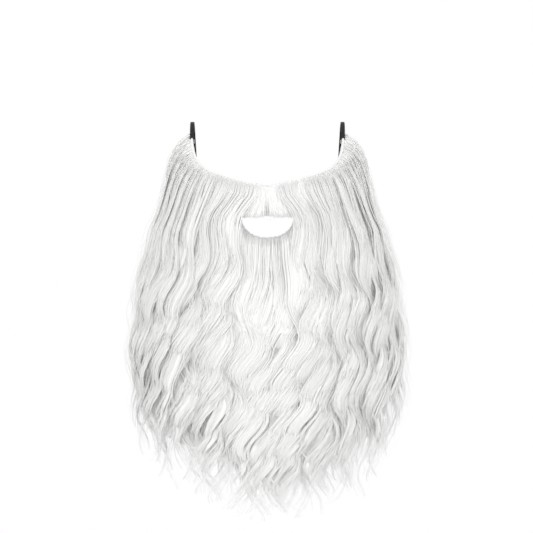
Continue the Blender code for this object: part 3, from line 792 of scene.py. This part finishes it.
def build_hair_body(node, start, end, root_of, shares, sink, end_share):
    """Dense hair under the strands: a closed wall between two shares of the hair's depth."""
    name = node + "_body"
    across = max(8, round((end - start) / 0.03))
    down = 56
    angle = np.linspace(start, end, across + 1)[None, :]
    t = np.linspace(0, 1, down + 1)[:, None]
    root = root_of(angle) - 0.014
    low = root + (tip_edge(angle) - root) * end_share
    height = root + (low - root) * t
    strength = wave_strength(height)
    turn = wave_turn(angle, height)
    full = hair_depth(angle, height) + strength * WAVE_SWELL * 0.4 * np.cos(turn)
    hollow = hollow_share(angle, height)
    base = BACKING_WALL + SEAT_GAP + 0.0003
    inner, outer = (base + full * (hollow + (1 - hollow) * share) for share in shares)
    outer = outer - sink
    grown = root_fill(root_of, angle, height)
    thin = smooth((1 - t) / 0.25)
    outer = inner + 0.0008 + np.maximum(0.0, outer - inner - 0.0008) * thin * grown
    slide = strength * WAVE_SWING * np.sin(turn)
    skins = np.stack((place(angle, height, inner, slide), place(angle, height, outer, slide)))
    rows, columns = down + 1, across + 1
    index = np.arange(2 * rows * columns).reshape(2, rows, columns)
    quads = []
    coordinates = []
    u = np.broadcast_to(angle / math.pi + 0.5, (rows, columns))
    v = np.broadcast_to(t, (rows, columns))
    flat_uv = np.stack((u, v), axis=-1)

    def add(corners, spots):
        quads.append(np.stack(corners, axis=-1).reshape(-1, 4))
        coordinates.append(np.stack(spots, axis=-2).reshape(-1, 4, 2))

    def cells(grid, flip):
        a, b, c, d = grid[:-1, :-1], grid[:-1, 1:], grid[1:, 1:], grid[1:, :-1]
        return (a, d, c, b) if flip else (a, b, c, d)

    inside, outside = index
    add(cells(outside, True), cells(flat_uv, True))
    add(cells(inside, False), cells(flat_uv, False))
    whole = slice(None)
    for line, flip in (((whole, 0), False), ((whole, -1), True), ((0, whole), True), ((-1, whole), False)):
        a, b, uv = inside[line], outside[line], flat_uv[line]
        corners = (a[:-1], a[1:], b[1:], b[:-1])
        spots = (uv[:-1], uv[1:], uv[1:], uv[:-1])
        if flip:
            corners, spots = corners[::-1], spots[::-1]
        add(corners, spots)
    points = skins.reshape(-1, 3)
    mesh = mesh_from_arrays(name, points, np.concatenate(quads), np.concatenate(coordinates), "OFBake")
    add_piece(name, mesh, SHADED_BODY_FINISH, "white_hair", node)


def build_hair_bodies():
    for node, start, end, root_of, _, sink in OVER_PIECES:
        build_hair_body(node, start, end, root_of, (0.50, 1.0), sink, 0.86)
    for node, start, end in UNDER_PIECES:
        build_hair_body(node, start, end, root_line_under, (0.16, 0.34), 0.0, 0.80)


MOUSTACHE_HAIRS = 1000
FRINGE_HAIRS = 2000
MOUTH_FRINGE_HAIRS = 520
LOOSE_HAIRS = 240


def add_short_hair(name, rng, paths, t, taper, half_width, half_depth, *nodes):
    """Short strands as one piece, thinner towards their ends."""
    thin = (1 - taper * t ** 2) * rng.uniform(0.8, 1.2, len(paths))[:, None]
    tones = rng.uniform(0, 1, len(paths))
    mesh = tube_mesh(name, paths, half_width * thin, half_depth * thin, tones, STRAND_SIDES)
    add_piece(name, mesh, STRAND_FINISH, "white_hair", *nodes)


def build_moustache():
    """Short hair combed down and outward from the parting, cut straight over the mouth."""
    count = MOUSTACHE_HAIRS
    t = np.linspace(0, 1, 8)[None, :]
    part_angle = math.asin(PART_WIDTH / 2 / float(backing_section(MOUTH_TOP_RISE)[0]))
    for number, (node, sign) in enumerate((("moustache_left", 1), ("moustache_right", -1))):
        rng = np.random.default_rng(HAIR_SEED + 40 + number)
        across = rng.uniform(0, 1.18, count)[:, None]
        depth = rng.uniform(0, 1, count)[:, None] ** 1.3
        start_low = rng.uniform(0, 1, count)[:, None] ** 3 * 0.5
        root = root_line_top(combed(across * MOUTH_ANGLE, EDGE_RISE_SIDE)) + 0.0004
        end = MOUTH_TOP_RISE - 0.0014 + rng.normal(0, 0.0009, count)[:, None] + depth * 0.001
        root = root + (end - root) * start_low
        height = root + (end - root) * t
        opened = np.maximum(0.0, (PART_RISE - height) / (PART_RISE - MOUTH_TOP_RISE))
        parted = part_angle * (0.9 + rng.normal(0, 0.3, count)[:, None]) * opened
        parted = parted * np.maximum(0.0, 1 - across)
        angle = sign * (parted + combed(across * MOUTH_ANGLE, height))
        clump = 0.0005 * np.sin(across * 70 + 2.0 * t) + rng.normal(0, 0.0004, count)[:, None] * t
        full = hair_depth(angle, height)
        fill = filled(root_line_top(angle) - height)
        base = BACKING_WALL + SEAT_GAP
        offset = base + 0.0010 + (full - 0.0006) * fill * (1 - 0.85 * depth)
        paths = place(angle, height, offset, clump)
        add_short_hair(node + "_strands", rng, paths, t, 0.35, 0.00042, 0.00034, node)


def build_fringe():
    """Short hair that rolls out over the top hem and lies down on the rest."""
    rng = np.random.default_rng(HAIR_SEED + 50)
    count = FRINGE_HAIRS
    angle = rng.uniform(-1, 1, count)[:, None]
    angle = np.sign(angle) * np.abs(angle) ** 0.70 * (QUARTER - 0.01)
    t = np.linspace(0, 1, 7)[None, :]
    side = np.abs(angle) / QUARTER
    fall = rng.uniform(0.008, 0.036, count)[:, None] * (1 + 0.6 * side ** 3)
    rise = (0.0010 + 0.0030 * side ** 14) * rng.uniform(0.4, 1, count)[:, None]
    height = top_edge(combed(angle, EDGE_RISE_SIDE)) + rise * np.sin(np.pi * np.minimum(1.0, t * 3.0))
    height = height - fall * t ** 1.2
    flowing = combed(angle, height)
    lay = BACKING_WALL + SEAT_GAP + hair_depth(flowing, height) * filled(top_edge(flowing) - height) * 0.96
    swell = np.sin(np.pi * np.minimum(1.0, t * 1.1))
    puff = 0.0008 + 0.0060 * side ** 4 * swell * rng.uniform(0, 1, count)[:, None]
    offset = BACKING_WALL * 0.5 + (lay - BACKING_WALL * 0.5) * smooth(t / 0.30) + puff * smooth(t / 0.2)
    slide = rng.normal(0, 0.0005, count)[:, None] * t
    paths = place(flowing, height, offset, slide)
    add_short_hair("hem_fringe", rng, paths, t, 0.6, 0.00040, 0.00032)


def build_mouth_fringe():
    """Short hair that lies over the mouth's lower rim, its ends a little unruly."""
    rng = np.random.default_rng(HAIR_SEED + 55)
    count = MOUTH_FRINGE_HAIRS
    angle = (MOUTH_ANGLE + 0.02) * np.sin(rng.uniform(-1, 1, count) * QUARTER)[:, None]
    t = np.linspace(0, 1, 7)[None, :]
    fall = rng.uniform(0.010, 0.030, count)[:, None]
    start = hair_rim(angle) + 0.0002 + rng.uniform(0, 1, count)[:, None] ** 5 * 0.0016
    height = start - fall * t
    offset = BACKING_WALL * 0.8 + (SEAT_GAP + 0.0012) * smooth(t / 0.12)
    offset = offset + hair_depth(angle, height) * filled(hair_rim(angle) - height, 0.009) * 0.97
    slide = rng.normal(0, 0.0009, count)[:, None] * t + np.sin(angle * 60) * 0.0006 * t
    paths = place(angle, height, offset, slide)
    add_short_hair("mouth_fringe", rng, paths, t, 0.5, 0.00038, 0.00030)


def build_flyaways():
    """Loose single hairs that stand off the outline and wander over the front of the beard."""
    rng = np.random.default_rng(HAIR_SEED + 60)
    side = rng.choice((-1, 1), LOOSE_HAIRS)
    angle = side * (1 - rng.uniform(0, 1, len(side)) ** 1.6) * REAR_LIMIT
    locks = [{
        "angle": float(a), "drop": 0.004,
        "tip": lock_tip(a) + rng.uniform(-0.012, 0.09), "share": 1.0, "sink": rng.uniform(-0.004, 0.001),
        "half_width": 0.012, "thickness": 0.001, "strands": 1, "behind": 0.0,
    } for a in angle if abs(a) > MOUTH_ANGLE]
    paths, widths, depths = lock_strands(rng, lock_habits(rng, locks), OVER_STATIONS, root_line_top)
    tones = rng.uniform(0, 1, len(paths))
    mesh = tube_mesh("loose_hairs", paths, widths * 0.5, depths * 0.6, tones, STRAND_SIDES)
    add_piece("loose_hairs", mesh, STRAND_FINISH, "white_hair")


# Backing and elastic

def skin_rings(name, path, rings, around, closed=False):
    """Smooth mesh over rings of points along a path, with metric UVs; around is the width of one face."""
    bm = bmesh.new()
    layer = bm.loops.layers.uv.new("Cloth")
    rings = [[bm.verts.new(point) for point in ring] for ring in rings]
    count, sides = len(rings), len(rings[0])
    run = 0.0
    for a, b in zip(range(count), [*range(1, count), 0] if closed else range(1, count)):
        step = (path[b] - path[a]).length
        for k in range(sides):
            n = (k + 1) % sides
            face = bm.faces.new((rings[a][k], rings[a][n], rings[b][n], rings[b][k]))
            spots = ((k, run), (k + 1, run), (k + 1, run + step), (k, run + step))
            for loop, (turn, along) in zip(face.loops, spots):
                loop[layer].uv = (turn * around, along)
        run += step
    if not closed:
        bm.faces.new(rings[0])
        bm.faces.new(rings[-1])
    bmesh.ops.recalc_face_normals(bm, faces=bm.faces)
    mesh = mesh_from_bmesh(name, bm)
    mesh.shade_smooth()
    return mesh


def bead_mesh(name, path, radius, closed, sides=10):
    """Round bead along a path of points."""
    rings = []
    count = len(path)
    turns = [math.tau * k / sides for k in range(sides)]
    for i, spot in enumerate(path):
        ahead = path[(i + 1) % count] if closed else path[min(i + 1, count - 1)]
        behind = path[i - 1] if closed else path[max(i - 1, 0)]
        along = (ahead - behind).normalized()
        wide = along.cross(Vector((spot.x, spot.y - BACKING_DEPTH, 0.0)).normalized()).normalized()
        deep = along.cross(wide)
        rings.append([spot + (wide * math.cos(turn) + deep * math.sin(turn)) * radius for turn in turns])
    return skin_rings(name, path, rings, math.tau * radius / sides, closed)


def build_backing():
    """Knitted wall with its mouth cut out, and the rolled hems along its edges."""
    bm = bmesh.new()
    layer = bm.loops.layers.uv.new("Cloth")
    half_arc = QUARTER - MOUTH_ANGLE
    rear = list(np.linspace(-QUARTER, -MOUTH_ANGLE, 37))
    inside = [MOUTH_ANGLE * math.sin(a) for a in np.linspace(-QUARTER, QUARTER, 33)][1:-1]
    angles = rear + inside + [-a for a in reversed(rear)]
    over_rows, under_rows = 16, 22

    def line(angle, offset):
        """Points from the top edge down to the mouth's height, and from there to the lower edge."""
        in_mouth = abs(angle) < MOUTH_ANGLE - 1e-9
        rear_middle = (EDGE_RISE_SIDE + REAR_LOW_RISE) / 2
        share = max(0.0, abs(angle) - MOUTH_ANGLE) / half_arc
        middle = MOUTH_TOP_RISE + (rear_middle - MOUTH_TOP_RISE) * share ** 2
        under_top = float(mouth_low(angle)) if in_mouth else middle
        over = np.linspace(float(top_edge(angle)), middle, over_rows + 1)
        under = np.linspace(under_top, float(low_edge(angle)), under_rows + 1)
        top = [bm.verts.new(place(angle, z, offset)) for z in over]
        low = [bm.verts.new(place(angle, z, offset)) for z in under[1:]]
        rim = bm.verts.new(place(angle, under[0], offset)) if in_mouth else top[-1]
        return top, [rim] + low

    skins = []
    for offset in (0.0, BACKING_WALL):
        columns = [line(angle, offset) for angle in angles]
        skins.append(columns)
        for a, b, angle_a, angle_b in zip(columns, columns[1:], angles, angles[1:]):
            for strip_a, strip_b in zip(a, b):
                for i in range(len(strip_a) - 1):
                    face = bm.faces.new((strip_a[i], strip_b[i], strip_b[i + 1], strip_a[i + 1]))
                    for loop, around in zip(face.loops, (angle_a, angle_b, angle_b, angle_a)):
                        loop[layer].uv = (around * BACKING_DEPTH, loop.vert.co.z)
    inner, outer = skins
    first_hole = len(rear) - 1
    hole = range(first_hole, len(angles) - first_hole)
    rims = [
        ([c[0][0] for c in inner], [c[0][0] for c in outer]),
        ([c[1][-1] for c in inner], [c[1][-1] for c in outer]),
        (inner[0][0] + inner[0][1][1:], outer[0][0] + outer[0][1][1:]),
        (inner[-1][0] + inner[-1][1][1:], outer[-1][0] + outer[-1][1][1:]),
        ([inner[i][0][-1] for i in hole], [outer[i][0][-1] for i in hole]),
        ([inner[i][1][0] for i in hole], [outer[i][1][0] for i in hole]),
    ]
    for inner_line, outer_line in rims:
        for i in range(len(inner_line) - 1):
            bm.faces.new((inner_line[i], inner_line[i + 1], outer_line[i + 1], outer_line[i]))
    bmesh.ops.recalc_face_normals(bm, faces=bm.faces)
    mesh = mesh_from_bmesh("backing_knit", bm)
    mesh.shade_smooth()
    mesh.set_sharp_from_angle(angle=math.radians(60))
    add_piece("backing_knit", mesh, BACKING_FINISH, "backing_fabric", "backing")

    middle = BACKING_WALL / 2
    for name, edge in (("top_hem", top_edge), ("jaw_hem", low_edge)):
        path = [Vector(place(a, edge(a), middle)) for a in np.linspace(-QUARTER, QUARTER, 161)]
        add_piece(name, bead_mesh(name, path, HEM_RADIUS, False), BACKING_FINISH, "backing_fabric")
    lip = [Vector(place(a, MOUTH_TOP_RISE, middle)) for a in np.linspace(-MOUTH_ANGLE, MOUTH_ANGLE, 25)]
    chin_angles = [MOUTH_ANGLE * math.sin(t) for t in np.linspace(QUARTER, -QUARTER, 61)][1:-1]
    lip += [Vector(place(a, mouth_low(a), middle)) for a in chin_angles]
    mesh = bead_mesh("mouth_hem", lip, MOUTH_HEM_RADIUS, True)
    add_piece("mouth_hem", mesh, BACKING_FINISH, "backing_fabric")


def build_stitches():
    """Rows of stitches inside the backing, where the hair is sewn on, and along its hems."""
    angles, heights = [], []
    step = STITCH_LENGTH * 1.5 / (BACKING_WIDTH / 2 + BACKING_DEPTH) * 2
    turn = np.arange(-QUARTER + 0.04, QUARTER - 0.04, step)
    for row in range(STITCH_ROWS):
        level = -CHIN_DROP + 0.006 + row * STITCH_ROW_STEP
        bend = level + 0.30 * (low_edge(turn) + CHIN_DROP)
        on_wall = (bend < top_edge(turn) - 0.006) & (bend > low_edge(turn) + 0.006)
        beside = np.abs(turn) >= MOUTH_ANGLE + 0.06
        past = (bend <= mouth_low(0) - 0.005) | (bend >= MOUTH_TOP_RISE + 0.005)
        clear = on_wall & (beside | past)
        angles.append(turn[clear])
        heights.append(bend[clear])
    for edge, shift in ((top_edge, -0.0040), (low_edge, 0.0040)):
        angles.append(turn)
        heights.append(edge(turn) + shift)
    angle, height = np.concatenate(angles)[:, None], np.concatenate(heights)[:, None]
    t = np.array((-1.0, -0.5, 0.5, 1.0))[None, :]
    slope = np.where(np.arange(len(angle)) % 2 == 0, 1, -1)[:, None] * 0.0003
    paths = place(angle, height + slope * t, -0.0001 - 0.00022 * (np.abs(t) < 0.8), STITCH_LENGTH / 2 * t)
    size = np.full(paths.shape[:2], 0.00026)
    mesh = tube_mesh("weft_stitches", paths, size, size, np.zeros(len(paths)), 4, "Cloth")
    add_piece("weft_stitches", mesh, THREAD_FINISH, "backing_fabric")


# Route of an ear loop: share of its reach back, share of its rise over the foot or drop under it, and
# share of the way inward to the backing's rear edge
LOOP_ROWS = (
    (0.00, 0.00, 0.00),
    (0.03, 0.36, 0.00),
    (0.14, 0.82, 0.00),
    (0.32, 1.00, 0.02),
    (0.55, 0.55, 0.06),
    (0.80, -0.09, 0.15),
    (0.97, -0.36, 0.35),
    (1.00, -0.60, 0.55),
    (0.90, -0.82, 0.80),
    (0.62, -0.97, 0.95),
    (0.30, -1.00, 1.00),
    (0.00, -1.00, 1.00),
)
LOOP_RISE = 0.0115
LOOP_REACH = 0.036
LOOP_FOOT_SETBACK = 0.007
LOOP_LOW_RISE = 0.022
TACK_LENGTH = 0.0045


def loop_route(side):
    """The frame's route of an ear loop as a smooth curve, run on into the hem and the rear edge."""
    foot_angle = math.acos(LOOP_FOOT_SETBACK / BACKING_DEPTH)
    foot = place(foot_angle, float(top_edge(foot_angle)), BACKING_WALL / 2)
    half_low, _, rear_low = (float(value) for value in backing_section(LOOP_LOW_RISE))
    start = EDGE_RISE_SIDE + SEAT_GAP
    reach = LOOP_REACH + LOOP_FOOT_SETBACK
    points = []
    for back, up, inward in LOOP_ROWS:
        y = foot[1] + reach * back
        if inward == 1.0:
            y = rear_low + SEAT_GAP + (foot[1] + reach - rear_low) * back
        z = start + (LOOP_RISE if up > 0 else start - LOOP_LOW_RISE) * up
        points.append((foot[0] + (half_low + BACKING_WALL / 2 - foot[0]) * inward, y, z))
    foot_end = (foot[0], foot[1], float(top_edge(foot_angle)) - TACK_LENGTH)
    rear_end = (points[-1][0], points[-1][1] - TACK_LENGTH, points[-1][2])
    points = np.array([foot_end, *points, rear_end])
    steps = np.r_[0, np.cumsum(np.linalg.norm(np.diff(points, axis=0), axis=1))]
    fine = np.linspace(0, steps[-1], 96)
    rows = [tuple(row) for row in np.column_stack((steps, points))]
    names = ("run", "x", "y", "z")
    curve = np.column_stack([table_curve(rows, names, name)(fine) for name in names[1:]])
    return [Vector((side * x, y, z)) for x, y, z in curve]


def build_tacks():
    """Zigzag stitches that hold both feet of each elastic to the backing, seen from inside."""
    foot_angle = math.acos(LOOP_FOOT_SETBACK / BACKING_DEPTH)
    t = np.linspace(0, 1, 13)[None, :]
    sway = 0.0011 * np.where(np.arange(13) % 2 == 0, 1, -1)[None, :]
    drop = top_edge(foot_angle) - 0.0008 - (TACK_LENGTH - 0.0012) * t
    paths = []
    for side in (1, -1):
        paths.append(place(side * foot_angle, drop, -0.0013, sway))
        run = 0.0008 + (TACK_LENGTH - 0.0012) * t
        paths.append(place(side * QUARTER, LOOP_LOW_RISE + sway * 0.8, -0.0013, -side * run))
    paths = np.concatenate(paths)
    size = np.full(paths.shape[:2], 0.00028)
    mesh = tube_mesh("bar_tacks", paths, size, size, np.zeros(len(paths)), 5, "Cloth")
    add_piece("bar_tacks", mesh, THREAD_FINISH, "backing_fabric")


def build_ear_loop(name, node, side):
    """Flat braided elastic with soft round edges."""
    route = loop_route(side)
    sides = 16
    rings = []
    for i, spot in enumerate(route):
        along = (route[min(i + 1, len(route) - 1)] - route[max(i - 1, 0)]).normalized()
        wide = (Vector((1.0, 0.0, 0.0)) - along * along.x).normalized()
        thick = along.cross(wide)
        ring = []
        for k in range(sides):
            turn = math.tau * (k + 0.5) / sides
            c, s = math.cos(turn), math.sin(turn)
            across = math.copysign(abs(c) ** 0.6, c) * ELASTIC_WIDTH / 2
            deep = math.copysign(abs(s) ** 0.6, s) * ELASTIC_THICKNESS / 2
            ring.append(spot + wide * across + thick * deep)
        rings.append(ring)
    mesh = skin_rings(name, route, rings, 2 * (ELASTIC_WIDTH + ELASTIC_THICKNESS) / sides)
    mesh.set_sharp_from_angle(angle=math.radians(70))
    add_piece(name, mesh, ELASTIC_FINISH, "black_elastic", node)


# Studio

FLOOR_RADIUS = 0.8
CAMERA_DISTANCE = 1.65
CAMERA_HEIGHT = -0.0385
CAMERA_SIDE = -0.0010
PLANE_DEPTH = 0.040
VIEW_WIDTH = 0.533
SENSOR = 36.0
FLOOR_HEIGHT = -0.46
VIEW_GAMMA = 1.45
AMBIENT = 0.76

# Lights: name, place, size across and power
LIGHTS = (
    ("front_light", (-0.15, -2.4, 0.15), 2.6, 2.5),
    ("left_light", (1.8, -1.6, 0.0), 1.8, 18.5),
    ("right_light", (-1.8, -1.6, 0.0), 1.8, 20.5),
    ("top_light", (0.0, -0.9, 1.7), 1.2, 9.0),
    ("low_light", (0.0, -1.7, -1.2), 1.2, 4.5),
)
LIGHT_TARGET = (0.0, 0.02, -0.08)


def build_camera():
    """Level camera in front of the beard, its frame VIEW_WIDTH across at PLANE_DEPTH."""
    data = bpy.data.cameras.new("camera")
    data.sensor_width = SENSOR
    data.lens = SENSOR * CAMERA_DISTANCE / VIEW_WIDTH
    camera = bpy.data.objects.new("camera", data)
    camera.location = (CAMERA_SIDE, PLANE_DEPTH - CAMERA_DISTANCE, CAMERA_HEIGHT)
    camera.rotation_euler = (QUARTER, 0.0, 0.0)
    bpy.context.scene.collection.objects.link(camera)
    bpy.context.scene.camera = camera


def add_area_light(name, place_at, size, power):
    """Round soft light that faces the beard."""
    data = bpy.data.lights.new(name, "AREA")
    data.shape = "DISK"
    data.size = size
    data.energy = power
    light = bpy.data.objects.new(name, data)
    light.location = place_at
    aim = Vector(LIGHT_TARGET) - Vector(place_at)
    light.rotation_euler = aim.to_track_quat("-Z", "Y").to_euler()
    bpy.context.scene.collection.objects.link(light)


def build_studio():
    """Soft lights, a white backdrop and a pale floor."""
    for light in LIGHTS:
        add_area_light(*light)
    world = bpy.data.worlds.new("studio")
    bpy.context.scene.world = world
    world.use_nodes = True
    tree = world.node_tree
    background = tree.nodes["Background"]
    background.inputs["Color"].default_value = (1.0, 1.0, 1.0, 1.0)
    seen = tree.nodes.new("ShaderNodeLightPath")
    strength = tree.nodes.new("ShaderNodeMapRange")
    strength.inputs["To Min"].default_value = AMBIENT
    strength.inputs["To Max"].default_value = 1.0
    tree.links.new(seen.outputs["Is Camera Ray"], strength.inputs["Value"])
    tree.links.new(strength.outputs[0], background.inputs["Strength"])
    bpy.context.scene.view_settings.view_transform = "Standard"
    bpy.context.scene.view_settings.gamma = VIEW_GAMMA
    bm = bmesh.new()
    bmesh.ops.create_circle(bm, cap_ends=True, segments=96, radius=FLOOR_RADIUS)
    bmesh.ops.translate(bm, verts=bm.verts, vec=(0.0, 0.0, FLOOR_HEIGHT))
    mesh = mesh_from_bmesh("floor", bm)
    material, _, shader = new_material("pale_floor", 0.9, specular=0.1)
    shader.inputs["Base Color"].default_value = (0.85, 0.85, 0.85, 1.0)
    mesh.materials.append(material)
    floor = bpy.data.objects.new("floor", mesh)
    bpy.context.scene.collection.objects.link(floor)


build_camera()
build_studio()
build_backing()
build_stitches()
build_tacks()
build_ear_loop("elastic_loop_left", "ear_loop_left", 1)
build_ear_loop("elastic_loop_right", "ear_loop_right", -1)
build_hair_bodies()
build_over_strands()
build_under_strands()
build_moustache()
build_fringe()
build_mouth_fringe()
build_flyaways()
